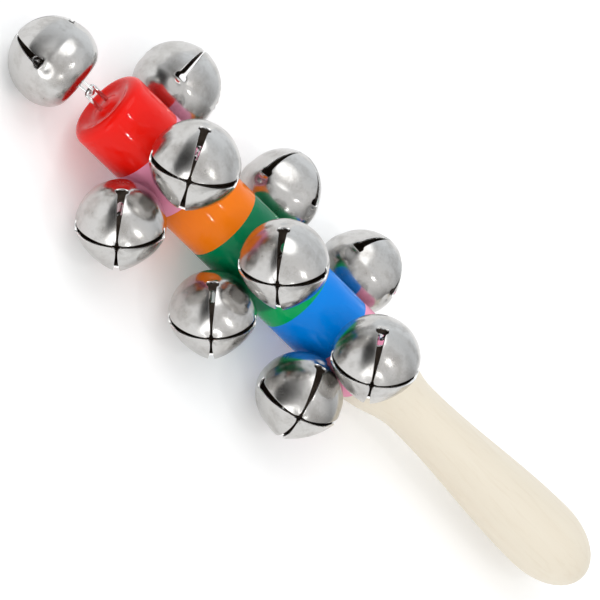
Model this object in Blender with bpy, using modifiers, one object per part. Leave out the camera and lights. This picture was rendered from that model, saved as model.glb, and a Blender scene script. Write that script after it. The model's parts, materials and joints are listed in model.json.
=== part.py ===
# Jingle stick: a wooden stick, painted in bands, with ten cross-slit jingle bells.
# One bell hangs from the head end and three rows of three go round the barrel. Each bell is a
# stamped shell with a wire loop through its cap and a loose pellet inside, and a staple driven
# into the wood holds its loop.
# Frame: +X runs from the head to the handle, +Z is up, and the stick lies on its side bells.
# Lengths are in metres.

from math import asin, cos, pi, radians, sin

import bmesh
import bpy
from mathutils import Matrix, Vector

MM = 0.001

# Stick, with distances measured from the head face
STICK_RADIUS = 10.0 * MM
STICK_LENGTH = 175.0 * MM
HEAD_ROUND = 2.4 * MM
BAND_ENDS = [14.2 * MM, 28.5 * MM, 41.7 * MM, 67.9 * MM, 81.5 * MM, 93.9 * MM]
NECK_AT = 110.0 * MM
NECK_RADIUS = 6.95 * MM
BULB_AT = 159.0 * MM
BULB_RADIUS = 9.6 * MM
STICK_SIDES = 24

# Bell shell, with distances along its axis measured from the middle of the bell
BELL_RADIUS = 10.5 * MM
MOUTH_HEIGHT = 10.0 * MM
CAP_HEIGHT = 8.75 * MM
CAP_RADIUS = 5.9 * MM
CAP_HOLE_RADIUS = 1.75 * MM
CAP_DOME = 0.25 * MM
SHEET = 0.5 * MM
PETAL_COLUMNS = 5
PETAL_FLATTENING = 0.16
PETAL_RING_ANGLES = (24.0, 46.0, 65.0, 76.0, 78.0, 82.0)
PETAL_TIP_RADIUS = 1.15 * MM
PETAL_TIP_POINT = 0.35

# Closed rings behind the petals: radius and height below the middle in bell radii, and flattening
BODY_RINGS = ((0.985, 0.30, 0.025), (0.84, 0.63, 0.0))

# Cross slits: half widths at the mouth and where the slit opens into its end hole
SLIT_NARROW = 0.32 * MM
SLIT_WIDE = 0.95 * MM
SLIT_HOLE = 1.65 * MM
SLIT_WIDE_ANGLE = radians(76.0)
SLIT_END_ANGLE = radians(82.0)

# Wire loop and staple. The staple's crown is the hinge that the loop swings on.
STAPLE_WIRE = 0.9 * MM
STAPLE_WIDTH = 3.2 * MM
STAPLE_DEPTH = 6.0 * MM
CROWN_HEIGHTS = {"tip": 4.9 * MM, "front": 2.9 * MM, "left": 2.9 * MM, "right": 4.9 * MM}
LOOP_WIRE = 0.8 * MM
WIRE_GAP = 0.25 * MM
CROWN_TO_CAP = 2.35 * MM
LOOP_FOOT = 3.4 * MM
LOOP_KNEE = 0.7 * MM
STAPLE_CORNER = 0.6 * MM
DRILL_OVERRUN = 0.8 * MM

# Loose pellet
PELLET_RADIUS = 2.5 * MM
PELLET_REST = 6.1 * MM

# Where the bells lie: rows from the head face, and the angle each staple stands at round the stick
ROW_START = 20.5 * MM
ROW_STEP = 32.0 * MM
SIDE_ANGLES = {"front": 0.0, "left": -120.0, "right": 120.0}
TILTS = {"tip": 17.6, "front": 61.0, "left": -61.0, "right": 71.7}

# How each bell sits: its staple off the row's line along the stick (metres) and round it (degrees),
# as driven by hand, then the bell's lean along the crown and its turn about its own axis (degrees)
BELL_LIES = {
    "tip": (0.0, 0.0, 6.0, 41.0),
    "row1_front": (0.6 * MM, 3.0, 11.0, 34.0),
    "row1_left": (-0.3 * MM, -1.5, 3.0, 45.0),
    "row1_right": (-4.7 * MM, 4.6, 5.6, 67.0),
    "row2_front": (0.7 * MM, -2.0, 8.0, 48.0),
    "row2_left": (-0.9 * MM, -1.5, 0.0, 48.0),
    "row2_right": (1.9 * MM, 5.0, 11.9, 36.6),
    "row3_front": (0.6 * MM, -5.0, 1.0, 39.0),
    "row3_left": (-2.4 * MM, 2.5, 2.7, 19.8),
    "row3_right": (-4.4 * MM, 5.6, -8.5, 38.7),
}

AXIS_HEIGHT = 13.14 * MM
BELL_MIDDLE = CROWN_TO_CAP + CAP_HEIGHT
TIP_LEAN = BELL_LIES["tip"][2]
TIP_REACH = (BELL_MIDDLE + MOUTH_HEIGHT) * cos(radians(TILTS["tip"])) * cos(radians(TIP_LEAN))
HEAD_X = (CROWN_HEIGHTS["tip"] + TIP_REACH - STICK_LENGTH) / 2.0


def clear_scene():
    for old in list(bpy.data.objects):
        bpy.data.objects.remove(old, do_unlink=True)


def make_collection(name):
    collection = bpy.data.collections.new(name)
    bpy.context.scene.collection.children.link(collection)
    return collection


def make_material(name, colour, roughness, metallic=0.0):
    material = bpy.data.materials.new(name)
    material.use_nodes = True
    shader = material.node_tree.nodes["Principled BSDF"]
    shader.inputs["Base Color"].default_value = (*colour, 1.0)
    shader.inputs["Roughness"].default_value = roughness
    shader.inputs["Metallic"].default_value = metallic
    return material


def mesh_from(name, verts, edges=(), faces=()):
    mesh = bpy.data.meshes.new(name)
    mesh.from_pydata(verts, edges, faces)
    mesh.update()
    return mesh


def add_object(name, data, collection, matrix=None, parent=None):
    obj = bpy.data.objects.new(name, data)
    collection.objects.link(obj)
    if parent is not None:
        obj.parent = parent
    if matrix is not None:
        obj.matrix_basis = matrix
    return obj


def evaluated_mesh(obj):
    bpy.context.view_layer.update()
    depsgraph = bpy.context.evaluated_depsgraph_get()
    return bpy.data.meshes.new_from_object(obj.evaluated_get(depsgraph))


# Stick

def handle_radius(at):
    """Radius of the bare handle: a quick taper to the neck, then a long swell to the bulb."""
    if at <= NECK_AT:
        share = (at - BAND_ENDS[-1]) / (NECK_AT - BAND_ENDS[-1])
        return NECK_RADIUS + (STICK_RADIUS - NECK_RADIUS) * (0.5 + 0.5 * cos(pi * share))
    share = (at - NECK_AT) / (BULB_AT - NECK_AT)
    return NECK_RADIUS + (BULB_RADIUS - NECK_RADIUS) * (0.5 - 0.5 * cos(pi * share))


def stick_profile():
    """Half outline of the stick from the tip of the handle down to the middle of the head face."""
    points = []
    end_steps = 6
    for step in range(end_steps):
        angle = (pi / 2.0) * step / end_steps
        points.append((BULB_RADIUS * sin(angle), BULB_AT + (STICK_LENGTH - BULB_AT) * cos(angle)))
    handle_steps = 10
    for step in range(handle_steps + 1):
        at = BULB_AT + (BAND_ENDS[-1] - BULB_AT) * step / handle_steps
        points.append((handle_radius(at), at))
    for band_end in reversed(BAND_ENDS[:-1]):
        points.append((STICK_RADIUS, band_end))
    round_steps = 3
    for step in range(round_steps + 1):
        angle = (pi / 2.0) * step / round_steps
        points.append((STICK_RADIUS - HEAD_ROUND * (1.0 - cos(angle)), HEAD_ROUND * (1.0 - sin(angle))))
    points.append((0.0, 0.0))
    return points


def build_stick(collection, cutters, materials):
    """Turned stick, drilled for the staples, with a paint colour for each band."""
    verts = [(radius, 0.0, at) for radius, at in stick_profile()]
    edges = [(i, i + 1) for i in range(len(verts) - 1)]
    profile = add_object("stick_profile", mesh_from("stick_profile", verts, edges), collection)
    turn = profile.modifiers.new("Turn", "SCREW")
    turn.axis = "Z"
    turn.steps = STICK_SIDES
    turn.render_steps = STICK_SIDES
    turn.use_merge_vertices = True
    turn.merge_threshold = 0.01 * MM
    mesh = evaluated_mesh(profile)
    bpy.data.objects.remove(profile, do_unlink=True)
    for material in materials:
        mesh.materials.append(material)
    for face in mesh.polygons:
        face.material_index = sum(face.center.z > band_end for band_end in BAND_ENDS)
    mesh.shade_smooth()
    mesh.set_sharp_from_angle(angle=radians(40.0))
    lay_down = Matrix.Translation((HEAD_X, 0.0, AXIS_HEIGHT)) @ Matrix.Rotation(pi / 2.0, 4, "Y")
    stick = add_object("wooden_stick", mesh, collection, lay_down)
    for cutter in cutters:
        cut = stick.modifiers.new(cutter.name, "BOOLEAN")
        cut.operation = "DIFFERENCE"
        cut.solver = "EXACT"
        cut.object = cutter
    return stick


# Bell shell

def slit_half_width(angle):
    """Half width of a slit at an angle from the mouth: it widens slowly, then opens to its hole."""
    if angle <= SLIT_WIDE_ANGLE:
        return SLIT_NARROW + (SLIT_WIDE - SLIT_NARROW) * (angle / SLIT_WIDE_ANGLE) ** 2
    if angle < SLIT_END_ANGLE:
        return SLIT_HOLE
    return 0.0


def shell_rings():
    """Rings of the shell's outer face: radius at the slits, height from the crown, slit, flattening."""
    rings = []
    for degrees in PETAL_RING_ANGLES:
        angle = radians(degrees)
        flattening = PETAL_FLATTENING * cos(angle * 0.9) ** 0.5
        height = BELL_MIDDLE + MOUTH_HEIGHT * cos(angle)
        rings.append((BELL_RADIUS * sin(angle), height, slit_half_width(angle), flattening))
    for radius, height, flattening in BODY_RINGS:
        rings.append((BELL_RADIUS * radius, BELL_MIDDLE - BELL_RADIUS * height, 0.0, flattening))
    rings.append((CAP_RADIUS, CROWN_TO_CAP + CAP_DOME, 0.0, 0.0))
    rings.append((CAP_HOLE_RADIUS, CROWN_TO_CAP, 0.0, 0.0))
    return rings


def petal_point(radius, height, half_width, flattening, share):
    """Point on a ring, from one slit edge (share 0) across the petal to the next (share 1)."""
    edge = asin(min(half_width / radius, 1.0))
    angle = edge + (pi / 2.0 - 2.0 * edge) * share
    reach = radius * (1.0 - flattening * sin(2.0 * angle))
    return (reach * cos(angle), reach * sin(angle), height)


def shell_mesh(material):
    """A quarter of the shell's outer face: one petal and the quarter of the cap behind it."""
    columns = PETAL_COLUMNS + 1
    verts = []
    for column in range(columns):
        share = column / PETAL_COLUMNS
        tip = PETAL_TIP_RADIUS * (1.0 - PETAL_TIP_POINT * sin(pi * share))
        verts.append(petal_point(tip, BELL_MIDDLE + MOUTH_HEIGHT, SLIT_NARROW, 0.0, share))
    for radius, height, half_width, flattening in shell_rings():
        for column in range(columns):
            verts.append(petal_point(radius, height, half_width, flattening, column / PETAL_COLUMNS))
    faces = []
    for ring in range(len(verts) // columns - 1):
        for column in range(PETAL_COLUMNS):
            corner = ring * columns + column
            faces.append((corner, corner + columns, corner + columns + 1, corner + 1))
    mesh = mesh_from("bell_shell", verts, faces=faces)
    mesh.materials.append(material)
    mesh.shade_smooth()
    mesh.set_sharp_from_angle(angle=radians(50.0))
    return mesh


def add_shell(name, mesh, collection, parent, turn):
    shell = add_object(name, mesh, collection, Matrix.Rotation(radians(turn), 4, "Z"), parent)
    mirror = shell.modifiers.new("Four petals", "MIRROR")
    mirror.use_axis = (True, True, False)
    mirror.use_mirror_merge = True
    mirror.merge_threshold = 0.01 * MM
    sheet = shell.modifiers.new("Sheet", "SOLIDIFY")
    sheet.thickness = SHEET
    sheet.offset = -1.0
    sheet.use_even_offset = True
    return shell


# Wires and pellets

def wire_mesh(name, points, thickness, material):
    """A round wire along the points, as a closed mesh."""
    curve = bpy.data.curves.new(name, "CURVE")
    curve.dimensions = "3D"
    curve.bevel_depth = thickness / 2.0
    curve.bevel_resolution = 1
    curve.use_fill_caps = True
    spline = curve.splines.new("POLY")
    spline.points.add(len(points) - 1)
    for point, place in zip(spline.points, points):
        point.co = (*place, 1.0)
    wire = bpy.data.objects.new(name, curve)
    bpy.context.scene.collection.objects.link(wire)
    mesh = evaluated_mesh(wire)
    bpy.data.objects.remove(wire, do_unlink=True)
    shape = bmesh.new()
    shape.from_mesh(mesh)
    bmesh.ops.remove_doubles(shape, verts=shape.verts, dist=0.001 * MM)
    shape.to_mesh(mesh)
    shape.free()
    mesh.materials.clear()
    mesh.materials.append(material)
    mesh.shade_smooth()
    mesh.set_sharp_from_angle(angle=radians(50.0))
    return mesh


def loop_points():
    """Loop in the YZ plane: under the crown, up through the cap's hole, and two feet bent outwards."""
    bend = STAPLE_WIRE / 2.0 + LOOP_WIRE / 2.0 + WIRE_GAP
    foot_height = CROWN_TO_CAP + CAP_DOME / 2.0 + SHEET + WIRE_GAP + LOOP_WIRE / 2.0
    side = [(LOOP_FOOT, foot_height), (bend + LOOP_KNEE, foot_height)]
    side.append((bend + 0.2 * LOOP_KNEE, foot_height - 0.2 * LOOP_KNEE))
    side.append((bend, foot_height - LOOP_KNEE))
    under = [(bend * cos(angle), -bend * sin(angle)) for angle in (radians(45.0 * i) for i in range(5))]
    path = side + under + [(-y, z) for y, z in reversed(side)]
    return [(0.0, y, z) for y, z in path]


def staple_points(crown_height):
    """Staple in the XZ plane: crown along X at the top and two legs down into the wood."""
    half = STAPLE_WIDTH / 2.0
    foot = -(crown_height + STAPLE_DEPTH)
    side = [(half, foot), (half, -STAPLE_CORNER)]
    side.append((half - 0.3 * STAPLE_CORNER, -0.3 * STAPLE_CORNER))
    side.append((half - STAPLE_CORNER, 0.0))
    path = side + [(-x, z) for x, z in reversed(side)]
    return [(x, 0.0, z) for x, z in path]


def pellet_mesh(material):
    shape = bmesh.new()
    bmesh.ops.create_icosphere(shape, subdivisions=2, radius=PELLET_RADIUS)
    mesh = bpy.data.meshes.new("pellet")
    shape.to_mesh(mesh)
    shape.free()
    mesh.materials.append(material)
    mesh.shade_smooth()
    return mesh


def drill_mesh(crown_height):
    """Cutter for one staple's two holes: six-sided drills, a gap wider than the wire all round."""
    shape = bmesh.new()
    top = -crown_height + DRILL_OVERRUN
    bottom = -(crown_height + STAPLE_DEPTH + WIRE_GAP)
    for x in (-STAPLE_WIDTH / 2.0, STAPLE_WIDTH / 2.0):
        place = Matrix.Translation((x, 0.0, (top + bottom) / 2.0))
        radius = (STAPLE_WIRE / 2.0 + WIRE_GAP) / cos(pi / 6.0)
        bmesh.ops.create_cone(shape, cap_ends=True, segments=6, radius1=radius, radius2=radius,
                              depth=top - bottom, matrix=place)
    mesh = bpy.data.meshes.new("staple_drill")
    shape.to_mesh(mesh)
    shape.free()
    return mesh


# Where each bell goes

def side_frame(at, angle, crown_height):
    """Frame of a side staple: origin on its crown, +X along the stick, +Z straight out of the wood."""
    out = Vector((0.0, sin(angle), cos(angle)))
    crown = Vector((HEAD_X + at, 0.0, AXIS_HEIGHT)) + out * (STICK_RADIUS + crown_height)
    return Matrix.Translation(crown) @ Matrix.Rotation(-angle, 4, "X")


def tip_frame():
    """Frame of the tip staple: origin on its crown, +Z out of the head face, crown level."""
    crown = Vector((HEAD_X - CROWN_HEIGHTS["tip"], 0.0, AXIS_HEIGHT))
    turn = Matrix(((0.0, 0.0, -1.0), (-1.0, 0.0, 0.0), (0.0, 1.0, 0.0))).to_4x4()
    return Matrix.Translation(crown) @ turn


def bell_places():
    """Name, staple frame, tilt about the crown, lean and turn of each bell."""
    _, _, lean, turn = BELL_LIES["tip"]
    places = [("tip", tip_frame(), CROWN_HEIGHTS["tip"], TILTS["tip"], lean, turn)]
    for row in range(3):
        for side, degrees in SIDE_ANGLES.items():
            name = f"row{row + 1}_{side}"
            along, around, lean, turn = BELL_LIES[name]
            crown_height = CROWN_HEIGHTS[side]
            frame = side_frame(ROW_START + row * ROW_STEP + along, radians(degrees + around), crown_height)
            places.append((name, frame, crown_height, TILTS[side], lean, turn))
    return places


def build():
    clear_scene()
    parts = make_collection("jingle_stick")
    cutters = make_collection("cutters")
    paints = [
        make_material("red paint", (0.82, 0.012, 0.008), 0.16),
        make_material("pink paint", (0.80, 0.32, 0.55), 0.2),
        make_material("orange paint", (0.88, 0.22, 0.02), 0.2),
        make_material("green paint", (0.0, 0.26, 0.10), 0.18),
        make_material("blue paint", (0.0, 0.20, 0.72), 0.18),
        make_material("pink end paint", (0.80, 0.32, 0.55), 0.2),
        make_material("bare wood", (0.78, 0.68, 0.52), 0.6),
    ]
    nickel = make_material("nickel plate", (0.82, 0.82, 0.80), 0.12, 1.0)
    steel = make_material("steel wire", (0.70, 0.70, 0.69), 0.25, 1.0)
    iron = make_material("steel pellet", (0.50, 0.50, 0.50), 0.35, 1.0)
    shell = shell_mesh(nickel)
    loop = wire_mesh("loop_wire", loop_points(), LOOP_WIRE, steel)
    pellet = pellet_mesh(iron)
    drills = []
    for name, frame, crown_height, tilt, lean, turn in bell_places():
        staple = wire_mesh(f"{name}_staple_wire", staple_points(crown_height), STAPLE_WIRE, steel)
        add_object(f"{name}_bell_staple", staple, parts, frame)
        drill = add_object(f"{name}_drill", drill_mesh(crown_height), cutters, frame)
        drill.hide_render = True
        drill.display_type = "WIRE"
        drills.append(drill)
        hang = frame @ Matrix.Rotation(radians(tilt), 4, "X") @ Matrix.Rotation(radians(-lean), 4, "Y")
        hinge = add_object(f"{name}_bell_hinge", None, parts, hang)
        add_shell(f"{name}_bell_shell", shell, parts, hinge, turn)
        add_object(f"{name}_bell_loop", loop, parts, None, hinge)
        middle = hang @ Vector((0.0, 0.0, BELL_MIDDLE))
        lowest = Matrix.Translation(middle - Vector((0.0, 0.0, PELLET_REST)))
        add_object(f"{name}_bell_pellet", pellet, parts, hang.inverted() @ lowest, hinge)
    build_stick(parts, drills, paints)


build()
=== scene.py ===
# %% [markdown]
# # A jingle stick
# The object is a turned wooden stick with a painted barrel and a bare handle. Ten cross-slit jingle
# bells hang from it on wire staples. The bells do nearly all the talking, so the lesson begins with one
# bell: how its sheet is drawn, slit and folded. The stick and the finishes follow, bright plate first.
#
# The first cell loads the measured solids. The stick's solid says where everything made here belongs.

# %% Load the solids
import json
from math import cos, pi, radians, sin, sqrt

import bmesh
import bpy
from mathutils import Matrix, Vector

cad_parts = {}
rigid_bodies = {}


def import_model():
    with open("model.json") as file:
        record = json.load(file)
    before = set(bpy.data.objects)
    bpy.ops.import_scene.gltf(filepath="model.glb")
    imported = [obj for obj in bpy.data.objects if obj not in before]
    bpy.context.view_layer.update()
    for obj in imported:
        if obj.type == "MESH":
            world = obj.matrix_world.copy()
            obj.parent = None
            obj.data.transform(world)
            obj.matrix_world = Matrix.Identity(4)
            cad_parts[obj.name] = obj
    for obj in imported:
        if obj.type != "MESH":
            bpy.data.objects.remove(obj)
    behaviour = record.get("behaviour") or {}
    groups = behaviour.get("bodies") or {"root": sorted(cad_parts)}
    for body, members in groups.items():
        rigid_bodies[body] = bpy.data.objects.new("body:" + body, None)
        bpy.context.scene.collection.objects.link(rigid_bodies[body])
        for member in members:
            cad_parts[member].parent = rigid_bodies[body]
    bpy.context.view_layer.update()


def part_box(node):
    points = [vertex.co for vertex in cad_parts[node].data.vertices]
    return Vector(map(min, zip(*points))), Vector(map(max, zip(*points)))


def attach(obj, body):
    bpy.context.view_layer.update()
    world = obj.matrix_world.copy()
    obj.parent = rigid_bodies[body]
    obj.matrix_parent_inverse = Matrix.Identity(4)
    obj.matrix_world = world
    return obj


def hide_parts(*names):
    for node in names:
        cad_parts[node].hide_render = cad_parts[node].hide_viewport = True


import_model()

MM = 0.001

# %% [markdown]
# The stick lies along X with its head at the low end. Its middle line and its head face are read
# from the wooden solid, so that a change of the solid moves everything that is made here.

# %% Where the stick is
stick_low, stick_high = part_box("wooden_stick")
HEAD_X = stick_low.x
AXIS_HEIGHT = (stick_low.z + stick_high.z) / 2.0
STICK_RADIUS = (stick_high.z - stick_low.z) / 2.0
STICK_LENGTH = stick_high.x - stick_low.x
HEAD = Vector((HEAD_X, 0.0, AXIS_HEIGHT))
print(f"stick {STICK_LENGTH / MM:.1f} mm long, {2.0 * STICK_RADIUS / MM:.1f} mm thick")

# %% [markdown]
# Modelling by hand means: add something simple, select a part of it and push that. These few helpers do
# it in code. `start` opens a new primitive for editing, and `stretch` and `pull` are the scale and extrude
# keys. The loaded solids are all selected, so everything is deselected before a primitive is added.

# %% Hand tools
def deselect():
    if bpy.context.object and bpy.context.object.mode == "EDIT":
        bpy.ops.object.mode_set(mode="OBJECT")
    bpy.ops.object.select_all(action="DESELECT")


def stretch(x, y, z, centre=(0.0, 0.0, 0.0)):
    bpy.ops.transform.resize(value=(x, y, z), center_override=centre)


def pull(x, y, z):
    bpy.ops.mesh.extrude_region_move(TRANSFORM_OT_translate={"value": (x, y, z)})


def start(name):
    """Name the primitive that was just added and open it in edit mode."""
    piece = bpy.context.object
    piece.name = name
    piece.data.name = name
    bpy.ops.object.mode_set(mode="EDIT")
    return piece


# %% [markdown]
# ## One bell
# The real bell starts as a flat disc of thin steel with a cross punched in it. A press draws it into a
# cup, and a second one folds the four tongues over until they meet at the mouth. That is why the
# tongues are flatter than a ball and why the metal is puckered at the end of each slit.
#
# The model follows the same steps. A circle of forty points is extruded ring by ring from the mouth to
# the cap. The tongues are pressed flatter ring by ring, the four slits are opened by a bevel, and the
# thickness comes last.

# %% Rings of the bell
BELL_RADIUS = 10.5 * MM
BELT_RADIUS = 10.72 * MM
MOUTH_HEIGHT = 10.0 * MM
CROWN_TO_CAP = 2.35 * MM
CAP_HEIGHT = 8.75 * MM
CAP_HOLE = 1.9 * MM
BELL_MIDDLE = CROWN_TO_CAP + CAP_HEIGHT
COLUMNS = 40
TIP_ANGLE = 6.3
MOST_LEAN_IN = 0.16
LEAN_FADE = 0.9
TONGUE_ANGLES = (15.0, 26.0, 37.0, 48.0, 58.0, 67.0)
KEYHOLE_TOP = 75.0
KEYHOLE_END = 83.0

# Below the slits: share of which radius, height over the middle in mm, and lean-in of the tongues.
LOWER_RINGS = (
    (1.006, BELT_RADIUS, 0.3, 0.955),
    (1.002, BELT_RADIUS, -1.7, 0.975),
    (0.97, BELT_RADIUS, -3.6, 0.99),
    (0.90, BELL_RADIUS, -5.6, 1.0),
    (0.775, BELL_RADIUS, -7.4, 1.0),
    (0.60, BELL_RADIUS, -8.45, 1.0),
    (0.36, BELL_RADIUS, -8.72, 1.0),
)

rings = []
for angle in (TIP_ANGLE, *TONGUE_ANGLES, KEYHOLE_TOP, KEYHOLE_END):
    lean_in = 1.0 - MOST_LEAN_IN * sqrt(cos(LEAN_FADE * radians(angle)))
    height = BELL_MIDDLE + MOUTH_HEIGHT * cos(radians(angle))
    rings.append((BELT_RADIUS * sin(radians(angle)), height, lean_in))
keyhole_top_height, keyhole_end_height = rings[-2][1], rings[-1][1]
for share, radius, up, lean_in in LOWER_RINGS:
    rings.append((share * radius, BELL_MIDDLE + up * MM, lean_in))
rings.append((CAP_HOLE, BELL_MIDDLE - CAP_HEIGHT, 1.0))
print(len(rings), "rings of", COLUMNS, "points")

# %% [markdown]
# The press pulls the flat disc into a cup. Here the first ring, round the mouth, is a plain circle. Each
# further ring is the last one extruded along the bell and scaled, which is what drawing a cup does to
# the sheet.

# %% Draw the cup
deselect()
bpy.ops.mesh.primitive_circle_add(vertices=COLUMNS, radius=rings[0][0], location=(0.0, 0.0, 0.0))
shell = start("bell_shell")
bpy.ops.transform.translate(value=(0.0, 0.0, rings[0][1]))
for (radius, height, _), (next_radius, next_height, _) in zip(rings, rings[1:]):
    pull(0.0, 0.0, next_height - height)
    stretch(next_radius / radius, next_radius / radius, 1.0)
print("cup", len(bmesh.from_edit_mesh(shell.data).faces), "faces")

# %% [markdown]
# By hand one clicks on a point to select it. In code `pick` selects by a test on the place of each point,
# edge or face, and `NEAR` is how close counts as the same place.

# %% Select by place
NEAR = 0.01 * MM


def pick(kind, test):
    """Select the vertices, edges or faces of the mesh in edit mode that pass the test."""
    bpy.ops.mesh.select_mode(type=kind)
    bpy.ops.mesh.select_all(action="DESELECT")
    mesh = bpy.context.object.data
    shape = bmesh.from_edit_mesh(mesh)
    if kind == "VERT":
        for vert in shape.verts:
            vert.select_set(test(vert.co))
    elif kind == "EDGE":
        for edge in shape.edges:
            edge.select_set(all(test(vert.co) for vert in edge.verts))
    else:
        for face in shape.faces:
            face.select_set(test(face.calc_center_median()))
    shape.select_flush_mode()
    bmesh.update_edit_mesh(mesh)


pick("VERT", lambda co: abs(co.z - rings[0][1]) < NEAR)
print(sum(vert.select for vert in bmesh.from_edit_mesh(shell.data).verts), "points round the mouth")

# %% [markdown]
# The tongues are folded from flat sheet, so across each of them the bell is flatter than round. In every
# ring the points between two slits are pressed toward the middle line, most in the middle of the tongue.

# %% Press the tongues flatter
SAME_SHARE = 0.01


def tongue_share(co):
    """How far round a point is from the nearest slit: 0 at a slit, 1 in the middle of a tongue."""
    reach = co.x * co.x + co.y * co.y
    return 2.0 * abs(co.x * co.y) / reach if reach > 0.0 else 0.0


for radius, height, lean_in in rings:
    if lean_in == 1.0:
        continue
    for step in range(1, COLUMNS // 8 + 1):
        share = sin(2.0 * radians(step * 360.0 / COLUMNS))
        pick("VERT", lambda co: abs(co.z - height) < NEAR and abs(tongue_share(co) - share) < SAME_SHARE)
        factor = 1.0 - (1.0 - lean_in) * share
        stretch(factor, factor, 1.0)
print("tongues pressed in by up to", round(100.0 * (1.0 - min(ring[2] for ring in rings))), "percent")

# %% [markdown]
# Each slit is one line of edges opened into a strip by a bevel measured in percent, so that it is
# narrow where the columns crowd at the mouth and wide at its end. The strips and the short cross bars
# at their ends are deleted, which leaves the T-shaped ends that the press punches.

# %% Open the slits
SLIT_OPENING = 60.0
SLIT_SHARE = 0.3


def on_slit_line(co):
    return min(abs(co.x), abs(co.y)) < NEAR


pick("EDGE", lambda co: on_slit_line(co) and co.z > keyhole_end_height - NEAR)
shape = bmesh.from_edit_mesh(shell.data)
for edge in shape.edges:
    upright = abs(edge.verts[0].co.z - edge.verts[1].co.z) > NEAR
    edge.select_set(edge.select and upright)
bmesh.update_edit_mesh(shell.data)
bpy.ops.mesh.bevel(offset_type="PERCENT", offset_pct=SLIT_OPENING, segments=1, affect="EDGES")


def in_slit(co):
    """Faces of the narrow strip near the mouth, and of the whole column in the keyhole."""
    across = min(abs(co.x), abs(co.y))
    column = max(abs(co.x), abs(co.y)) * sin(radians(360.0 / COLUMNS))
    if co.z > keyhole_top_height:
        return across < SLIT_SHARE * column
    return co.z > keyhole_end_height and across < column


pick("FACE", in_slit)
bpy.ops.mesh.delete(type="FACE")
print("slit cup", len(bmesh.from_edit_mesh(shell.data).faces), "faces")

# %% [markdown]
# The four tips never quite meet. Near the mouth the slits are kept open to a least width, and the point
# of each tongue is drawn in to round it. Below each keyhole the punch leaves a shallow dimple.

# %% Round the tips and dimple the sheet below each slit
LEAST_HALF_WIDTHS = (0.34 * MM, 0.36 * MM, 0.42 * MM)
BESIDE_SLIT = 0.3
TIP_DRAWN_IN = 0.72
TONGUE_MIDDLE = 0.9
DIMPLE = 0.90
mouth_height = rings[0][1]
dimple_height = BELL_MIDDLE + LOWER_RINGS[0][2] * MM
for (_, height, _), least in zip(rings, LEAST_HALF_WIDTHS):
    for axis in (0, 1):
        across = 1 - axis
        pick("VERT", lambda co: abs(co.z - height) < NEAR
             and 0.0 < abs(co[across]) < BESIDE_SLIT * abs(co[axis]))
        shape = bmesh.from_edit_mesh(shell.data)
        now = [abs(vert.co[across]) for vert in shape.verts if vert.select]
        factor = max(1.0, least / (sum(now) / len(now)))
        stretch(*((1.0, factor, 1.0) if axis == 0 else (factor, 1.0, 1.0)))
pick("VERT", lambda co: abs(co.z - mouth_height) < NEAR and tongue_share(co) > TONGUE_MIDDLE)
stretch(TIP_DRAWN_IN, TIP_DRAWN_IN, 1.0)
pick("VERT", lambda co: on_slit_line(co) and abs(co.z - dimple_height) < NEAR)
stretch(DIMPLE, DIMPLE, 1.0)
print("slits at least", round(2.0 * LEAST_HALF_WIDTHS[0] / MM, 2), "mm wide at the mouth")

# %% [markdown]
# Extruding, bevelling and spinning leave double points and can turn faces inside out. So every piece is
# welded before it is finished: points nearer than `WELD` become one, and all faces turn outwards.

# %% Weld and measure
WELD = 0.002 * MM


def weld():
    """Merge double points and turn every face outwards."""
    bpy.ops.mesh.select_all(action="SELECT")
    bpy.ops.mesh.remove_doubles(threshold=WELD)
    bpy.ops.mesh.normals_make_consistent(inside=False)


def measure(piece):
    """Print how many faces a piece has and how large it is."""
    sides = [round(side / MM, 2) for side in piece.dimensions]
    print(f"{piece.name}: {len(piece.data.polygons)} faces, {sides} mm")


weld()
print("welded cup", len(bmesh.from_edit_mesh(shell.data).faces), "faces")

# %% [markdown]
# Two levels of subdivision round the pressed sheet. Solidify then gives it its half millimetre of
# thickness inward, and a fine bevel breaks the punched edges. In life those edges catch the light as a thin
# bright line along every slit, and here their rim faces also get a much paler colour, a painted highlight.

# %% Smooth it and give it thickness
SHEET = 0.5 * MM
EDGE_BREAK = 0.09 * MM
for slot_name in ("bright nickel", "dull inside", "punched edge with painted highlight"):
    bpy.ops.object.material_slot_add()
    shell.material_slots[-1].material = bpy.data.materials.new(slot_name)
bpy.ops.object.mode_set(mode="OBJECT")
bell_middle = Vector((0.0, 0.0, BELL_MIDDLE))
outside = sum(face.normal.dot(face.center - bell_middle) > 0.0 for face in shell.data.polygons)
if outside < len(shell.data.polygons) / 2:
    shell.data.flip_normals()
smooth = shell.modifiers.new("Smooth sheet", "SUBSURF")
smooth.levels = 2
smooth.render_levels = 2
sheet = shell.modifiers.new("Sheet", "SOLIDIFY")
sheet.thickness = SHEET
sheet.offset = -1.0
sheet.use_even_offset = True
sheet.material_offset = 1
# The rims of the sheet take the third slot, whose pale colour is a painted highlight along every slit.
sheet.material_offset_rim = 2
edge_break = shell.modifiers.new("Broken edges", "BEVEL")
edge_break.width = EDGE_BREAK
edge_break.segments = 2
edge_break.limit_method = "ANGLE"
edge_break.angle_limit = radians(50.0)
for modifier in list(shell.modifiers):
    bpy.ops.object.modifier_apply(modifier=modifier.name)
bpy.ops.object.shade_smooth_by_angle(angle=radians(40.0))
measure(shell)

# %% [markdown]
# ## Wires and pellet
# A loop of bright wire goes down through the hole in the cap and round the crown of the staple, and its
# feet are spread inside the bell. Wire is drawn through a round die, so it is modelled as a circle
# pulled along its path: extrude for each straight and spin for each bend.

# %% Loop
WIRE_GAP = 0.25 * MM
CAP_DOME = 0.25 * MM
LOOP_WIRE = 0.8 * MM
STAPLE_WIRE = 0.9 * MM
LOOP_FOOT = 3.4 * MM
FOOT_BEND = 0.55 * MM
BEND_STEPS = 8
WIRE_SIDES = 16
END_LENGTH = 0.12 * MM
END_SHARE = 0.72


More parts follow.
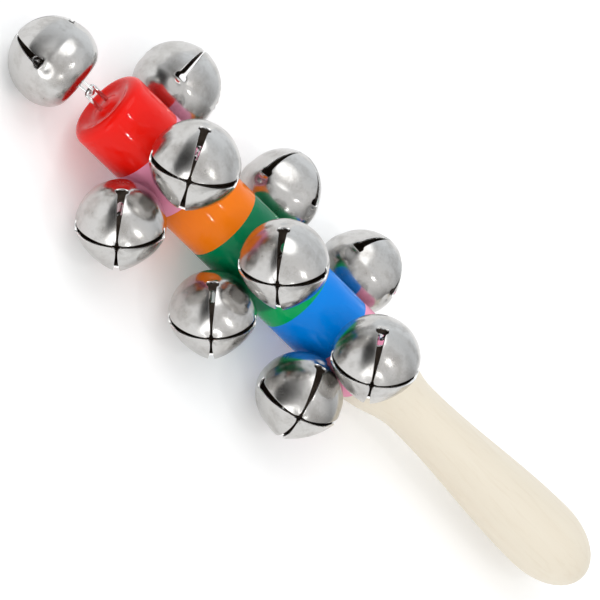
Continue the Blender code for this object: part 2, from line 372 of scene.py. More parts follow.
def bend(angle, centre, axis):
    """Bend the selected wire end about a centre. With no window, spin turns the other way."""
    bpy.ops.mesh.spin(steps=BEND_STEPS, angle=-angle, center=centre, axis=axis)


def nip_end(x, y, z):
    """Close a cut wire end with the small rounded edge that the cutter leaves."""
    pull(END_LENGTH * x, END_LENGTH * y, END_LENGTH * z)
    shape = bmesh.from_edit_mesh(bpy.context.object.data)
    chosen = [vert.co for vert in shape.verts if vert.select]
    stretch(END_SHARE, END_SHARE, END_SHARE, sum(chosen, Vector()) / len(chosen))
    bpy.ops.mesh.edge_face_add()


def close_wire(wire):
    """Join what the bends left double, turn the faces outwards and smooth them."""
    weld()
    bpy.ops.object.mode_set(mode="OBJECT")
    bpy.ops.object.shade_smooth_by_angle(angle=radians(50.0))
    measure(wire)


deselect()
half_gap = STAPLE_WIRE / 2.0 + LOOP_WIRE / 2.0 + WIRE_GAP
foot_height = CROWN_TO_CAP + CAP_DOME / 2.0 + SHEET + WIRE_GAP + LOOP_WIRE / 2.0
foot_start = half_gap + FOOT_BEND
straight = foot_height - FOOT_BEND
bpy.ops.mesh.primitive_circle_add(vertices=WIRE_SIDES, radius=LOOP_WIRE / 2.0, location=(0.0, 0.0, 0.0))
loop = start("bell_loop")
bpy.ops.transform.rotate(value=pi / 2.0, orient_axis="X", center_override=(0.0, 0.0, 0.0))
bpy.ops.transform.translate(value=(0.0, LOOP_FOOT, foot_height))
pull(0.0, foot_start - LOOP_FOOT, 0.0)
bend(pi / 2.0, (0.0, foot_start, straight), (1.0, 0.0, 0.0))
pull(0.0, 0.0, -straight)
bend(-pi, (0.0, 0.0, 0.0), (1.0, 0.0, 0.0))
pull(0.0, 0.0, straight)
bend(pi / 2.0, (0.0, -foot_start, straight), (1.0, 0.0, 0.0))
pull(0.0, foot_start - LOOP_FOOT, 0.0)
nip_end(0.0, -1.0, 0.0)
pick("VERT", lambda co: abs(co.y - LOOP_FOOT) < NEAR)
nip_end(0.0, 1.0, 0.0)
close_wire(loop)

# %% [markdown]
# The staple is the same work: two legs driven into the wood and a flat crown between them. The ones in
# front and on the left are driven home. The others stand further out and are of slightly thicker wire,
# so one function makes both.

# %% Staples
STAPLE_WIDTH = 3.2 * MM
STAPLE_DEPTH = 6.0 * MM
LOW_CROWN = 2.9 * MM
HIGH_CROWN = 4.9 * MM
STAPLE_BEND = 0.6 * MM
HIGH_STAPLE_WIRE = STAPLE_WIRE + 0.14 * MM


def make_staple(name, crown_height, thickness):
    deselect()
    half = STAPLE_WIDTH / 2.0
    foot = -crown_height - STAPLE_DEPTH
    bpy.ops.mesh.primitive_circle_add(vertices=WIRE_SIDES, radius=thickness / 2.0, location=(0.0, 0.0, 0.0))
    staple = start(name)
    bpy.ops.transform.translate(value=(half, 0.0, foot))
    pull(0.0, 0.0, -STAPLE_BEND - foot)
    bend(-pi / 2.0, (half - STAPLE_BEND, 0.0, -STAPLE_BEND), (0.0, 1.0, 0.0))
    pull(2.0 * STAPLE_BEND - STAPLE_WIDTH, 0.0, 0.0)
    bend(-pi / 2.0, (STAPLE_BEND - half, 0.0, -STAPLE_BEND), (0.0, 1.0, 0.0))
    pull(0.0, 0.0, foot + STAPLE_BEND)
    nip_end(0.0, 0.0, -1.0)
    pick("VERT", lambda co: co.x > 0.0 and abs(co.z - foot) < NEAR)
    nip_end(0.0, 0.0, -1.0)
    close_wire(staple)
    return staple


low_staple = make_staple("low_staple", LOW_CROWN, STAPLE_WIRE)
high_staple = make_staple("high_staple", HIGH_CROWN, HIGH_STAPLE_WIRE)

# %% [markdown]
# The pellet is a cold-headed steel ball. The two dies that squeeze it leave a faint line where they
# meet and a small flat at each end. So a narrow belt is cut round its waist and taken in a little, and
# its poles are pressed.

# %% Pellet
PELLET_RADIUS = 2.5 * MM
SEAM = 0.12 * MM
SEAM_REACH = 0.2 * MM
SEAM_WAIST = 0.995
FLAT_FROM = 2.43 * MM
FLATTENED = 0.98
deselect()
bpy.ops.mesh.primitive_uv_sphere_add(segments=32, ring_count=18, radius=PELLET_RADIUS,
                                     location=(0.0, 0.0, 0.0))
pellet = start("bell_pellet")
pick("VERT", lambda co: abs(co.z) < NEAR)
bpy.ops.mesh.bevel(offset=SEAM, segments=1, affect="EDGES")
pick("VERT", lambda co: abs(co.z) < SEAM_REACH)
stretch(SEAM_WAIST, SEAM_WAIST, 1.0)
pick("VERT", lambda co: abs(co.z) > FLAT_FROM)
stretch(1.0, 1.0, FLATTENED)
bpy.ops.object.mode_set(mode="OBJECT")
bpy.ops.object.shade_smooth_by_angle(angle=radians(60.0))
measure(pellet)

# %% [markdown]
# ## The stick
# A stick like this is turned: the wood spins while a gouge follows an outline. So the outline comes first,
# as a list of points from the tip of the handle to the middle of the head. The paint is thick: each band
# ends in a fine step, and on the head the enamel has run into a rolled rim, with a hollow inside it and a
# mound round the staple.

# %% Outline of the stick
HEAD_ROUND = 2.4 * MM
BAND_ENDS = [14.2 * MM, 28.5 * MM, 41.7 * MM, 67.9 * MM, 81.5 * MM, 93.9 * MM]
NECK_AT = 110.0 * MM
NECK_RADIUS = 6.95 * MM
BULB_AT = 159.0 * MM
BULB_RADIUS = 9.6 * MM
PAINT_STEP = 0.035 * MM
PAINT_EDGE = 0.15 * MM
PAINT_SAG = 0.01 * MM
BARE_FROM = BAND_ENDS[-1] + 0.3 * MM
BULB_STEPS = 12
HANDLE_STEPS = 32
RIM_STEPS = 8
# Depth below the flat of the head and distance from the middle line, in mm.
HEAD_FACE = ((0.18, 7.0), (0.60, 6.1), (0.92, 5.2), (0.95, 4.2), (0.75, 3.3), (0.35, 2.5), (0.12, 1.6),
             (0.08, 0.0))


def handle_radius(at):
    """A quick taper from the barrel to the neck, then a long swell to the bulb."""
    if at <= NECK_AT:
        share = (at - BAND_ENDS[-1]) / (NECK_AT - BAND_ENDS[-1])
        return NECK_RADIUS + (STICK_RADIUS - NECK_RADIUS) * (0.5 + 0.5 * cos(pi * share))
    share = (at - NECK_AT) / (BULB_AT - NECK_AT)
    return NECK_RADIUS + (BULB_RADIUS - NECK_RADIUS) * (0.5 - 0.5 * cos(pi * share))


outline = []
for step in range(BULB_STEPS + 1):
    angle = (pi / 2.0) * step / BULB_STEPS
    outline.append((BULB_AT + (STICK_LENGTH - BULB_AT) * cos(angle), BULB_RADIUS * sin(angle)))
for step in range(1, HANDLE_STEPS + 1):
    at = BULB_AT + (BARE_FROM - BULB_AT) * step / HANDLE_STEPS
    outline.append((at, handle_radius(at) - PAINT_STEP))
for start_at, end_at in zip([HEAD_ROUND, *BAND_ENDS][-2::-1], BAND_ENDS[::-1]):
    outline.append((end_at, STICK_RADIUS - PAINT_STEP))
    outline.append((end_at - PAINT_EDGE, STICK_RADIUS))
    outline.append(((start_at + end_at) / 2.0, STICK_RADIUS - PAINT_SAG))
    outline.append((start_at + PAINT_EDGE, STICK_RADIUS))
for step in range(RIM_STEPS + 1):
    angle = (pi / 2.0) * step / RIM_STEPS
    outline.append((HEAD_ROUND * (1.0 - sin(angle)), STICK_RADIUS - HEAD_ROUND * (1.0 - cos(angle))))
outline += [(depth * MM, radius * MM) for depth, radius in HEAD_FACE]
print("outline of", len(outline), "points")

# %% [markdown]
# Now the turning itself. One point is pulled along the outline, and the line it leaves is spun once round
# the axis. The bands are then masked off as a painter would do it: all faces between two places along
# the stick get one paint.
#
# Last, `settle` puts the stick's place into its mesh. The finishes are laid on by that place, so the painted
# light on the green band can be given as a distance along the stick, and no two bells will get the same
# smudges.

# %% Turn the stick
TURN_STEPS = 96
BAND_PAINTS = ("red paint", "pink paint", "orange paint", "green paint", "blue paint", "pink paint",
               "bare wood")
deselect()
bpy.ops.mesh.primitive_plane_add(size=0.1 * MM, location=(0.0, 0.0, 0.0))
stick = start("turned_stick")
bpy.ops.mesh.select_all(action="SELECT")
bpy.ops.mesh.merge(type="CENTER")
bpy.ops.transform.translate(value=(outline[0][0], outline[0][1], 0.0))
for (at, radius), (next_at, next_radius) in zip(outline, outline[1:]):
    pull(next_at - at, next_radius - radius, 0.0)
bpy.ops.mesh.select_all(action="SELECT")
bpy.ops.mesh.spin(steps=TURN_STEPS, angle=2.0 * pi, center=(0.0, 0.0, 0.0), axis=(1.0, 0.0, 0.0))
weld()
bpy.ops.object.mode_set(mode="OBJECT")
bpy.ops.object.shade_smooth_by_angle(angle=radians(50.0))
bpy.ops.object.mode_set(mode="EDIT")
for paint, low, high in zip(BAND_PAINTS, [-1.0, *BAND_ENDS], [*BAND_ENDS, 1.0]):
    if paint not in [used.name for used in stick.data.materials]:
        bpy.ops.object.material_slot_add()
        stick.material_slots[-1].material = bpy.data.materials.new(paint)
    stick.active_material_index = stick.data.materials.find(paint)
    pick("FACE", lambda co: low < co.x < high)
    bpy.ops.object.material_slot_assign()
bpy.ops.object.mode_set(mode="OBJECT")


def settle(piece, matrix):
    """Put the piece's place into its mesh, so that its object sits at the origin."""
    piece.data.transform(matrix)
    piece.matrix_world = Matrix.Identity(4)
    piece.data.update()


settle(stick, Matrix.Translation(HEAD))
measure(stick)

# %% [markdown]
# ## Hang the bells
# Nine side bells stand in three rows, with a staple in front, left and right of each row, and one bell
# hangs from the head. No two lie alike: the staples were driven by hand and the bells rolled until they
# came to rest against the barrel. Each line below says how one of them sits: its shift along the stick,
# its turn round the stick, its lean and the turn of its cross.
#
# The bells are crowded, so two shells of the middle row are made a little slimmer. They then pass each
# other when both swing fully out.

# %% Where each bell sits
ROW_START = 20.5 * MM
ROW_STEP = 32.0 * MM
SIDE_ANGLES = {"front": 0.0, "left": -120.0, "right": 120.0}
TILTS = {"tip": 17.6, "front": 61.0, "left": -61.0, "right": 71.7}
CROWNS = {"tip": HIGH_CROWN, "front": LOW_CROWN, "left": LOW_CROWN, "right": HIGH_CROWN}
BELL_LIES = {
    "tip": (0.0, 0.0, 6.0, 41.0),
    "row1_front": (0.6 * MM, 3.0, 11.0, 34.0),
    "row1_left": (-0.3 * MM, -1.5, 3.0, 45.0),
    "row1_right": (-4.7 * MM, 4.6, 5.6, 67.0),
    "row2_front": (0.7 * MM, -2.0, 8.0, 48.0),
    "row2_left": (-0.9 * MM, -1.5, 0.0, 48.0),
    "row2_right": (1.9 * MM, 5.0, 11.9, 36.6),
    "row3_front": (0.6 * MM, -5.0, 1.0, 39.0),
    "row3_left": (-2.4 * MM, 2.5, 2.7, 19.8),
    "row3_right": (-4.4 * MM, 5.6, -8.5, 38.7),
}
SLIM_BELLS = {"row2_left": 0.98, "row2_right": 0.98}
PELLET_REST = 6.1 * MM
print(len(BELL_LIES), "bells,", ROW_STEP / MM, "mm from row to row")

# %% [markdown]
# A piece is modelled once and then copied, each copy with a mesh of its own. Two small frames place it:
# the staple's, which is fixed in the wood, and the bell's, which is tilted round the crown of the staple
# until the shell lies against the barrel. Each copy rides on the body that its solid belongs to, and
# takes that solid's place.

# %% Frames and copies
def staple_frame(name):
    """Where a staple's crown is: X along the crown and Z straight out of the wood."""
    row, _, side = name.partition("_")
    if not side:
        turn = Matrix(((0.0, 0.0, -1.0), (-1.0, 0.0, 0.0), (0.0, 1.0, 0.0))).to_4x4()
        return Matrix.Translation(HEAD - Vector((CROWNS["tip"], 0.0, 0.0))) @ turn
    along, around, _, _ = BELL_LIES[name]
    angle = radians(SIDE_ANGLES[side] + around)
    out = Vector((0.0, sin(angle), cos(angle)))
    at = ROW_START + (int(row[-1]) - 1) * ROW_STEP + along
    crown = HEAD + Vector((at, 0.0, 0.0)) + out * (STICK_RADIUS + CROWNS[side])
    return Matrix.Translation(crown) @ Matrix.Rotation(-angle, 4, "X")


def place_copy(source, name, matrix, body):
    """Copy a finished piece with its own mesh, put it in place and let it ride."""
    piece = source.copy()
    piece.data = source.data.copy()
    piece.name = name
    piece.data.name = name
    bpy.context.scene.collection.objects.link(piece)
    settle(piece, matrix)
    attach(piece, body)
    return piece


def box_miss(piece, node):
    """Largest distance between the sides of a piece's box and those of its solid's box."""
    low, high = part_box(node)
    points = [vert.co for vert in piece.data.vertices]
    miss = 0.0
    for axis in range(3):
        along = [point[axis] for point in points]
        miss = max(miss, abs(min(along) - low[axis]), abs(max(along) - high[axis]))
    return miss


print("crown of the tip's staple in mm:", [round(side / MM, 1) for side in staple_frame("tip").translation])

# %% [markdown]
# With both frames known, four copies are made for every bell: shell, loop, pellet and staple. The pellet
# lies at the lowest place inside its shell, however the bell is turned. The boxes of all pieces are held
# against those of their solids, to be sure that nothing went astray.

# %% Copy every piece to its place
worst = {}
for name, (_, _, lean, turn) in BELL_LIES.items():
    frame_here = staple_frame(name)
    side = name.split("_")[-1]
    tilt = Matrix.Rotation(radians(TILTS[side]), 4, "X")
    hang = frame_here @ tilt @ Matrix.Rotation(radians(-lean), 4, "Y")
    rest = hang @ Vector((0.0, 0.0, BELL_MIDDLE)) - Vector((0.0, 0.0, PELLET_REST))
    bell = f"{name}_bell"
    girth = SLIM_BELLS.get(name, 1.0)
    slim = Matrix.Diagonal((girth, girth, 1.0, 1.0))
    staple = high_staple if CROWNS[side] == HIGH_CROWN else low_staple
    copies = {
        "shell": (shell, hang @ Matrix.Rotation(radians(turn), 4, "Z") @ slim, bell, "bell_nickel"),
        "loop": (loop, hang, bell, "wire_steel"),
        "pellet": (pellet, Matrix.Translation(rest), f"{bell}_pellet_body", "pellet_steel"),
        "staple": (staple, frame_here, "stick", "wire_steel"),
    }
    for kind, (source, matrix, body, slot) in copies.items():
        node = f"{bell}_{kind}"
        piece = place_copy(source, f"{node}_fine", matrix, body)
        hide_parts(node)
        worst[kind] = max(worst.get(kind, 0.0), box_miss(piece, node))
for source in (shell, loop, pellet, low_staple, high_staple):
    bpy.data.objects.remove(source)
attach(stick, "stick")
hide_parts("wooden_stick")
worst["stick"] = box_miss(stick, "wooden_stick")
print("furthest from the solids in mm:", {kind: round(miss / MM, 2) for kind, miss in worst.items()})

# %% [markdown]
# Two bells of the last row lie side by side. Round and smooth as they now are, their shells would just
# touch, and on the real stick one pushes the other aside. So both are moved along the line between their
# middles, the shells a little further than their loops, which have some play in the holes of the caps.

# %% Part the two neighbours
NEIGHBOURS = ("row3_front", "row3_left")
SHIFTS = {"shell": 0.45, "loop": 0.2}
middles = []
for bell in NEIGHBOURS:
    points = bpy.data.objects[f"{bell}_bell_shell_fine"].data.vertices
    middles.append(sum((vert.co for vert in points), Vector()) / len(points))
apart = (middles[0] - middles[1]).normalized()
for bell, way in zip(NEIGHBOURS, (1.0, -1.0)):
    for kind, shift in SHIFTS.items():
        piece = bpy.data.objects[f"{bell}_bell_{kind}_fine"]
        settle(piece, Matrix.Translation(apart * way * shift * MM))
print("moved apart by", 2.0 * SHIFTS["shell"], "mm:", NEIGHBOURS)

# %% [markdown]
# ## Finishes
# Every finish here is made of the same few things: a colour that is never quite even, a gloss that
# hands and tools have changed, and a surface that isn't quite flat. `add` puts one node into a tree with
# its values, so that each recipe below reads as a list. An input is given by its name, or by its number
# after the letter i where a node has several of one name.

# %% Node helpers
def add(tree, kind, settings=None, **links):
    """Add a node: settings are properties, and each link is a value or another node's socket."""
    node = tree.nodes.new(kind)
    for name, value in (settings or {}).items():
        setattr(node, name, value)
    for name, value in links.items():
        numbered = name[0] == "i" and name[1:].isdigit()
        socket = node.inputs[int(name[1:]) if numbered else name.replace("_", " ")]
        if isinstance(value, bpy.types.NodeSocket):
            tree.links.new(value, socket)
        else:
            socket.default_value = value
    return node


def new_group(name, inputs, outputs):
    """An empty node group with its named sockets, and its two end nodes."""
    group = bpy.data.node_groups.new(name, "ShaderNodeTree")
    for title, kind, value in inputs:
        socket = group.interface.new_socket(title, in_out="INPUT", socket_type=kind)
        socket.default_value = value
    for title, kind in outputs:
        group.interface.new_socket(title, in_out="OUTPUT", socket_type=kind)
    return group, group.nodes.new("NodeGroupInput"), group.nodes.new("NodeGroupOutput")


def ramp(tree, value, low, high, to_low=0.0, to_high=1.0):
    """Bring a value from one range into another, held at both ends."""
    node = add(tree, "ShaderNodeMapRange", None, i0=value, i1=low, i2=high, i3=to_low, i4=to_high)
    return node.outputs[0]


def open_material(name):
    material = bpy.data.materials.get(name) or bpy.data.materials.new(name)
    material.use_nodes = True
    tree = material.node_tree
    shader = tree.nodes["Principled BSDF"]
    return material, tree, shader, add(tree, "ShaderNodeTexCoord").outputs["Object"]


# %% [markdown]
# Metal that is handled shows soft cloudy smudges that dull it in places, and very fine scratches. Thin
# sheet is never quite even either, and a slow wave in it bends what it mirrors. All three are one group,
# used by the plated shells, the wires and the pellets.

# %% Handled metal
WAVE_SCALE = 150.0
GRIT_SHARE = 0.35
SCRATCH_DEPTH = -0.04
handled, handled_in, handled_out = new_group(
    "handled metal",
    [("Coordinates", "NodeSocketVector", (0.0, 0.0, 0.0)), ("Smudge Size", "NodeSocketFloat", 240.0),
     ("Scratch Size", "NodeSocketFloat", 1400.0)],
    [("Smudge", "NodeSocketFloat"), ("Height", "NodeSocketFloat")])
place = handled_in.outputs["Coordinates"]
cloud = add(handled, "ShaderNodeTexNoise", None, Vector=place, Scale=handled_in.outputs["Smudge Size"],
            Detail=5.0, Roughness=0.6)
fine = add(handled, "ShaderNodeTexNoise", None, Vector=place, Scale=handled_in.outputs["Scratch Size"],
           Detail=3.0, Distortion=1.6)
smudge = ramp(handled, cloud.outputs[0], 0.46, 0.72)
grit = ramp(handled, fine.outputs[0], 0.56, 0.72)
both = add(handled, "ShaderNodeMath", {"operation": "MULTIPLY_ADD"}, i0=grit, i1=GRIT_SHARE, i2=smudge)
wave = add(handled, "ShaderNodeTexNoise", None, Vector=place, Scale=WAVE_SCALE, Detail=1.0)
height = add(handled, "ShaderNodeMath", {"operation": "MULTIPLY_ADD"}, i0=grit, i1=SCRATCH_DEPTH,
             i2=wave.outputs[0])
handled.links.new(both.outputs[0], handled_out.inputs["Smudge"])
handled.links.new(height.outputs[0], handled_out.inputs["Height"])


def metal(name, clean, dulled, gloss, dull_gloss, bump, smudge_size=240.0):
    """A metal between its clean and its dulled state, both in colour and in gloss."""
    material, tree, shader, place = open_material(name)
    marks = add(tree, "ShaderNodeGroup", {"node_tree": handled}, Coordinates=place, Smudge_Size=smudge_size)
    colour = add(tree, "ShaderNodeMix", {"data_type": "RGBA"}, i0=marks.outputs["Smudge"])
    colour.inputs[6].default_value = (*clean, 1.0)
    colour.inputs[7].default_value = (*dulled, 1.0)
    tree.links.new(colour.outputs[2], shader.inputs["Base Color"])
    rough = ramp(tree, marks.outputs["Smudge"], 0.0, 1.2, gloss, dull_gloss)
    tree.links.new(rough, shader.inputs["Roughness"])
    relief = add(tree, "ShaderNodeBump", None, Height=marks.outputs["Height"], Strength=1.0, Distance=bump)
    tree.links.new(relief.outputs[0], shader.inputs["Normal"])
    shader.inputs["Metallic"].default_value = 1.0
    return material


print("group:", handled.name)

# %% [markdown]
# Five metals are made from it. The plate is bright outside and dull inside the bell, where the bath hardly
# reaches. The punched edges get a far paler colour than the sheet, a painted highlight for the bright line
# they catch. The wire is drawn bright, and the pellets are plain steel. Each takes its clean colour, its
# dulled colour, both roughnesses and the height of the relief.

# %% Plate, wire and pellet
nickel = metal("bright nickel", (0.57, 0.56, 0.545), (0.42, 0.405, 0.385), 0.18, 0.31, 0.025 * MM)
inside = metal("dull inside", (0.26, 0.21, 0.17), (0.12, 0.09, 0.07), 0.45, 0.65, 0.03 * MM)
# The edge colour is a painted highlight, far paler than the plate.
edge = metal("punched edge with painted highlight", (0.94, 0.94, 0.93), (0.80, 0.79, 0.78), 0.24, 0.36, 0.01 * MM, smudge_size=600.0)
wire = metal("bright wire", (0.76, 0.76, 0.755), (0.56, 0.55, 0.54), 0.14, 0.28, 0.01 * MM, smudge_size=500.0)
ball = metal("steel pellet", (0.62, 0.61, 0.60), (0.34, 0.31, 0.28), 0.22, 0.42, 0.01 * MM, smudge_size=500.0)
for piece in bpy.context.scene.objects:
    if piece.name.endswith(("loop_fine", "staple_fine")):
        piece.data.materials.append(wire)
    if piece.name.endswith("pellet_fine"):
        piece.data.materials.append(ball)
print("metals:", [material.name for material in (nickel, inside, edge, wire, ball)])

# %% [markdown]
# The bands are thick glossy enamel, put on with a brush while the stick turned. The brush leaves fine
# ridges that run round the stick, dust dries in as small nibs, and the enamel settles into soft lumps
# that break up every highlight. One group makes all of this, and each band gives it its own colours.

# %% Enamel
BRUSH_RUN = (1500.0, 60.0, 60.0)
LUMP_SCALE = 170.0
NIB_SCALE = 460.0
RIDGE_SHARE = 0.02
NIB_SHARE = 0.25
enamel, enamel_in, enamel_out = new_group(
    "brushed enamel",
    [("Coordinates", "NodeSocketVector", (0.0, 0.0, 0.0)),
     ("Colour", "NodeSocketColor", (1.0, 1.0, 1.0, 1.0)),
     ("Thin And Painted Light Colour", "NodeSocketColor", (1.0, 1.0, 1.0, 1.0)), ("Lap", "NodeSocketFloat", 0.0)],
    [("Colour", "NodeSocketColor"), ("Roughness", "NodeSocketFloat"), ("Height", "NodeSocketFloat")])
place = enamel_in.outputs["Coordinates"]
along = add(enamel, "ShaderNodeMapping", None, Vector=place, Scale=BRUSH_RUN)
ridges = add(enamel, "ShaderNodeTexNoise", None, Vector=along.outputs[0], Scale=1.0, Detail=3.0)
lumps = add(enamel, "ShaderNodeTexNoise", None, Vector=place, Scale=LUMP_SCALE, Detail=1.0, Roughness=0.3)
patches = add(enamel, "ShaderNodeTexNoise", None, Vector=place, Scale=90.0, Detail=3.0)
uneven = ramp(enamel, patches.outputs[0], 0.35, 0.75, 0.0, 0.35)
# The fourth input lays the lighter colour on as painted light, a strip of light painted on the green band.
# Elsewhere the lighter colour shows only where the paint lies thin at random.
thin_and_painted_light = add(enamel, "ShaderNodeMath", {"operation": "MAXIMUM"}, i0=uneven, i1=enamel_in.outputs["Lap"])
mixed = add(enamel, "ShaderNodeMix", {"data_type": "RGBA"}, i0=thin_and_painted_light.outputs[0])
enamel.links.new(enamel_in.outputs["Colour"], mixed.inputs[6])
enamel.links.new(enamel_in.outputs["Thin And Painted Light Colour"], mixed.inputs[7])
enamel.links.new(mixed.outputs[2], enamel_out.inputs["Colour"])
enamel.links.new(ramp(enamel, lumps.outputs[0], 0.3, 0.7, 0.04, 0.09), enamel_out.inputs["Roughness"])
ridge_part = add(enamel, "ShaderNodeMath", {"operation": "MULTIPLY"}, i0=ridges.outputs[0], i1=RIDGE_SHARE)
height = add(enamel, "ShaderNodeMath", {"operation": "ADD"}, i0=ridge_part.outputs[0], i1=lumps.outputs[0])
grains = add(enamel, "ShaderNodeTexNoise", None, Vector=place, Scale=NIB_SCALE, Detail=1.0, Roughness=0.3)
nibs = add(enamel, "ShaderNodeMath", {"operation": "MULTIPLY_ADD"},
           i0=ramp(enamel, grains.outputs[0], 0.62, 0.80), i1=NIB_SHARE, i2=height.outputs[0])
enamel.links.new(nibs.outputs[0], enamel_out.inputs["Height"])
print("group:", enamel.name)

# %% [markdown]
# Each paint is that group with a full and a thin colour. On the green band, next to the blue, the lighter
# colour is painted light: a strip of brightness that the bell above throws on the band, put into the colour.
# Its edge wanders with a noise.

# %% Five paints
# The lighter strip on the green band is painted light: from this place along the stick onward the lighter
# colour is painted in.
PAINTED_LIGHT_EDGE = 1.0 * MM
WANDER = 7.0 * MM
GREEN_PAINTED_LIGHT = HEAD_X + 62.0 * MM
NO_PAINTED_LIGHT = 1.0
LUMP_HEIGHT = 0.22 * MM
PAINT_IOR = 1.38
PAINT_SPECULAR = 0.26


def paint(name, colour, thin_and_lit_colour, painted_light_from=NO_PAINTED_LIGHT):
    """One enamel. Past a given place along the stick, the lighter colour is painted on as painted light."""
    material, tree, shader, place = open_material(name)
    along_stick = add(tree, "ShaderNodeSeparateXYZ", None, Vector=place).outputs["X"]
    light_edge_noise = add(tree, "ShaderNodeTexNoise", None, Vector=place, Scale=75.0, Detail=1.0)
    wander = add(tree, "ShaderNodeMath", {"operation": "MULTIPLY_ADD"}, i0=light_edge_noise.outputs[0], i1=WANDER,
                 i2=along_stick)
    painted_light_start = painted_light_from + WANDER / 2.0
    painted_light = ramp(tree, wander.outputs[0], painted_light_start, painted_light_start + PAINTED_LIGHT_EDGE)
    coat = add(tree, "ShaderNodeGroup", {"node_tree": enamel}, Coordinates=place, Lap=painted_light)
    coat.inputs["Colour"].default_value = (*colour, 1.0)
    coat.inputs["Thin And Painted Light Colour"].default_value = (*thin_and_lit_colour, 1.0)
    tree.links.new(coat.outputs["Colour"], shader.inputs["Base Color"])
    tree.links.new(coat.outputs["Roughness"], shader.inputs["Roughness"])
    relief = add(tree, "ShaderNodeBump", None, Height=coat.outputs["Height"], Strength=1.0,
                 Distance=LUMP_HEIGHT)
    tree.links.new(relief.outputs[0], shader.inputs["Normal"])
    shader.inputs["IOR"].default_value = PAINT_IOR
    shader.inputs["Specular IOR Level"].default_value = PAINT_SPECULAR
    return material


paint("red paint", (0.92, 0.010, 0.006), (0.94, 0.030, 0.012))
paint("pink paint", (0.93, 0.33, 0.50), (0.94, 0.40, 0.57))
paint("orange paint", (0.96, 0.205, 0.006), (0.98, 0.26, 0.012))
# The green's lighter colour also serves as the painted light next to the blue.
paint("green paint", (0.0, 0.175, 0.075), (0.0, 0.40, 0.11), GREEN_PAINTED_LIGHT)
paint("blue paint", (0.0, 0.235, 0.82), (0.0, 0.28, 0.88))
print("bands:", BAND_PAINTS)

# %% [markdown]
# The handle is left bare: a pale close-grained hardwood, sanded and slightly polished by the hand. Its
# grain runs along the stick, so the noise is stretched along X, and the growth rings show as faint wider
# stripes that curve where the bulb cuts through them.

# %% Bare wood
FIBRE_RUN = (60.0, 900.0, 900.0)
GROWTH_RUN = (14.0, 220.0, 160.0)
FIBRE_STRENGTH = 0.20
FIBRE_HEIGHT = 0.03 * MM
material, tree, shader, place = open_material("bare wood")
run = add(tree, "ShaderNodeMapping", None, Vector=place, Scale=FIBRE_RUN)
fibre = add(tree, "ShaderNodeTexNoise", None, Vector=run.outputs[0], Scale=1.0, Detail=6.0, Roughness=0.65)
wide = add(tree, "ShaderNodeMapping", None, Vector=place, Scale=GROWTH_RUN)
growth = add(tree, "ShaderNodeTexNoise", None, Vector=wide.outputs[0], Scale=1.0, Detail=2.0)
pale = add(tree, "ShaderNodeMix", {"data_type": "RGBA"}, i0=ramp(tree, growth.outputs[0], 0.3, 0.7))
pale.inputs[6].default_value = (0.815, 0.735, 0.60, 1.0)
pale.inputs[7].default_value = (0.84, 0.77, 0.64, 1.0)
grained = add(tree, "ShaderNodeMix", {"data_type": "RGBA"},
              i0=ramp(tree, fibre.outputs[0], 0.52, 0.80, 0.0, FIBRE_STRENGTH))
tree.links.new(pale.outputs[2], grained.inputs[6])
grained.inputs[7].default_value = (0.60, 0.47, 0.32, 1.0)
tree.links.new(grained.outputs[2], shader.inputs["Base Color"])
tree.links.new(ramp(tree, fibre.outputs[0], 0.3, 0.8, 0.42, 0.62), shader.inputs["Roughness"])
relief = add(tree, "ShaderNodeBump", None, Height=fibre.outputs[0], Strength=1.0, Distance=FIBRE_HEIGHT)
tree.links.new(relief.outputs[0], shader.inputs["Normal"])
print("wood:", material.name)

# %% [markdown]
# ## Floor and light
# The stick was photographed on white. The floor is a plain pale sheet that keeps the stick's shadow. A
# faint glow, which only the camera and mirrors see, lifts it to white and puts no light on the stick.

# %% Floor
FLOOR_SIZE = 6.0
FLOOR_GLOW = 0.20
deselect()
bpy.ops.mesh.primitive_plane_add(size=FLOOR_SIZE, location=(0.0, 0.0, 0.0))
floor = bpy.context.object
floor.name = "floor"
material, tree, shader, place = open_material("white floor")
shader.inputs["Base Color"].default_value = (0.93, 0.93, 0.93, 1.0)
shader.inputs["Roughness"].default_value = 0.9
shader.inputs["Specular IOR Level"].default_value = 0.1
path = add(tree, "ShaderNodeLightPath")
seen = add(tree, "ShaderNodeMath", {"operation": "MAXIMUM"}, i0=path.outputs["Is Camera Ray"],
           i1=path.outputs["Is Glossy Ray"])
seen = add(tree, "ShaderNodeMath", {"operation": "MAXIMUM"}, i0=seen.outputs[0],
           i1=path.outputs["Is Transmission Ray"])
lift = add(tree, "ShaderNodeMath", {"operation": "MULTIPLY"}, i0=seen.outputs[0], i1=FLOOR_GLOW)
shader.inputs["Emission Color"].default_value = (1.0, 1.0, 1.0, 1.0)
tree.links.new(lift.outputs[0], shader.inputs["Emission Strength"])
floor.data.materials.append(material)
print("floor", FLOOR_SIZE, "m wide")

# %% [markdown]
# Bright plate shows whatever stands round it, so the world is not one even grey. It is a room with two
# bright walls along the stick, a pale ceiling and one dark doorway past the head. The wall at the back is
# a touch bluer than the other, as daylight is.

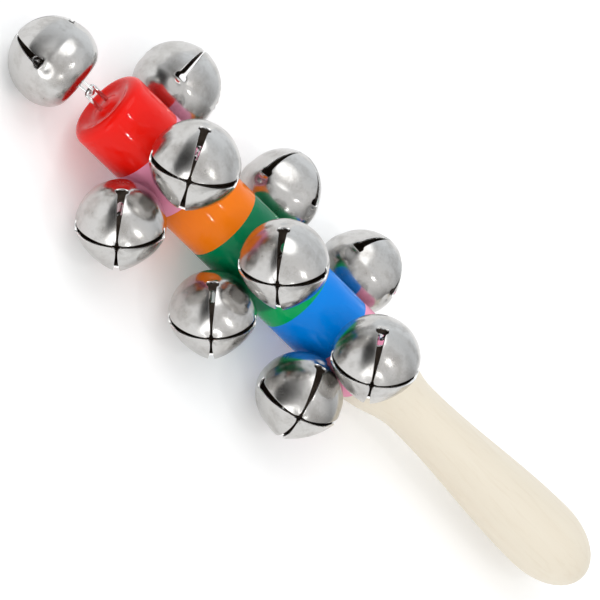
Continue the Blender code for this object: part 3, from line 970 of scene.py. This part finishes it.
# %% World
DIM = 0.24
BRIGHT_WALL = 1.08
PALE_CEILING = 0.90
DARK_DOORWAY = 0.10
DOORWAY_AT = (-0.90, -0.43, 0.08)
world = bpy.data.worlds.new("studio")
bpy.context.scene.world = world
world.use_nodes = True
tree = world.node_tree
sky = tree.nodes["Background"]
toward = add(tree, "ShaderNodeTexCoord").outputs["Generated"]
parts = add(tree, "ShaderNodeSeparateXYZ", None, Vector=toward)
sideways = add(tree, "ShaderNodeMath", {"operation": "ABSOLUTE"}, i0=parts.outputs["Y"])
walls = ramp(tree, sideways.outputs[0], 0.1, 0.9, DIM, BRIGHT_WALL)
ceiling = ramp(tree, parts.outputs["Z"], 0.12, 0.75, DIM, PALE_CEILING)
grey = add(tree, "ShaderNodeMath", {"operation": "MAXIMUM"}, i0=walls, i1=ceiling).outputs[0]
doorway = add(tree, "ShaderNodeVectorMath", {"operation": "DOT_PRODUCT"}, i0=toward, i1=DOORWAY_AT)
keep = ramp(tree, doorway.outputs["Value"], 0.97, 0.72, DARK_DOORWAY, 1.0)
shade = add(tree, "ShaderNodeMath", {"operation": "MULTIPLY"}, i0=grey, i1=keep)
tint = add(tree, "ShaderNodeMix", {"data_type": "RGBA"}, i0=ramp(tree, parts.outputs["Y"], 0.0, 0.8))
tint.inputs[6].default_value = (1.0, 1.0, 1.0, 1.0)
tint.inputs[7].default_value = (0.94, 0.98, 1.02, 1.0)
lit = add(tree, "ShaderNodeVectorMath", {"operation": "SCALE"}, i0=tint.outputs[2], Scale=shade.outputs[0])
tree.links.new(lit.outputs[0], sky.inputs["Color"])
sky.inputs["Strength"].default_value = 1.0
print("world:", world.name)

# %% [markdown]
# Four lamps: a broad one high over the painted end, which makes the large soft highlight on each bell, a
# second one low on the near side, which keeps that side from going dark, and two small ones over the
# handle, which put short bright glints on the enamel.

# %% Lamps
LIT_SPOT = (-0.055, 0.0, 0.013)


def lamp(name, place, aim, size, power):
    data = bpy.data.lights.new(name, "AREA")
    data.shape = "DISK"
    data.size = size
    data.energy = power
    light = bpy.data.objects.new(name, data)
    direction = Vector(aim) - Vector(place)
    light.matrix_world = Matrix.Translation(place) @ direction.to_track_quat("-Z", "Y").to_matrix().to_4x4()
    bpy.context.scene.collection.objects.link(light)


lamp("broad lamp", (-0.79, 0.62, 1.73), (0.0, 0.0, 0.0), 1.5, 7.0)
lamp("front lamp", (-0.60, -1.84, 0.52), (0.0, 0.0, 0.0), 1.0, 4.0)
lamp("high small lamp", (0.484, -0.224, 1.287), LIT_SPOT, 0.03, 0.8)
lamp("low small lamp", (0.484, -1.008, 0.825), LIT_SPOT, 0.03, 0.8)

# %% [markdown]
# ## Camera
# The photograph looks down on the stick through a long lens, from beside its painted end. The rows of
# the matrix are the directions of the image: right, up and toward the camera.

# %% Camera
SENSOR = 36.0
PICTURE_SIDE = 600.0
FOCAL_PIXELS = 4344.9
EYE_FROM_HEAD = (45.25, -45.0, 1000.0)
photo_axes = Matrix(((0.6533, 0.3868, 0.6508), (-0.6443, 0.7355, 0.2097), (-0.3975, -0.5564, 0.7297)))
eye = photo_axes.transposed() @ Vector(EYE_FROM_HEAD) * MM + HEAD
camera_data = bpy.data.cameras.new("photo_camera")
camera_data.sensor_width = SENSOR
camera_data.lens = FOCAL_PIXELS / PICTURE_SIDE * SENSOR
camera_data.clip_end = 20.0
camera = bpy.data.objects.new("photo_camera", camera_data)
camera.matrix_world = Matrix.Translation(eye) @ photo_axes.transposed().to_4x4()
bpy.context.scene.collection.objects.link(camera)
bpy.context.scene.camera = camera
bpy.context.scene.view_settings.view_transform = "Standard"
print("lens", round(camera_data.lens, 1), "mm")
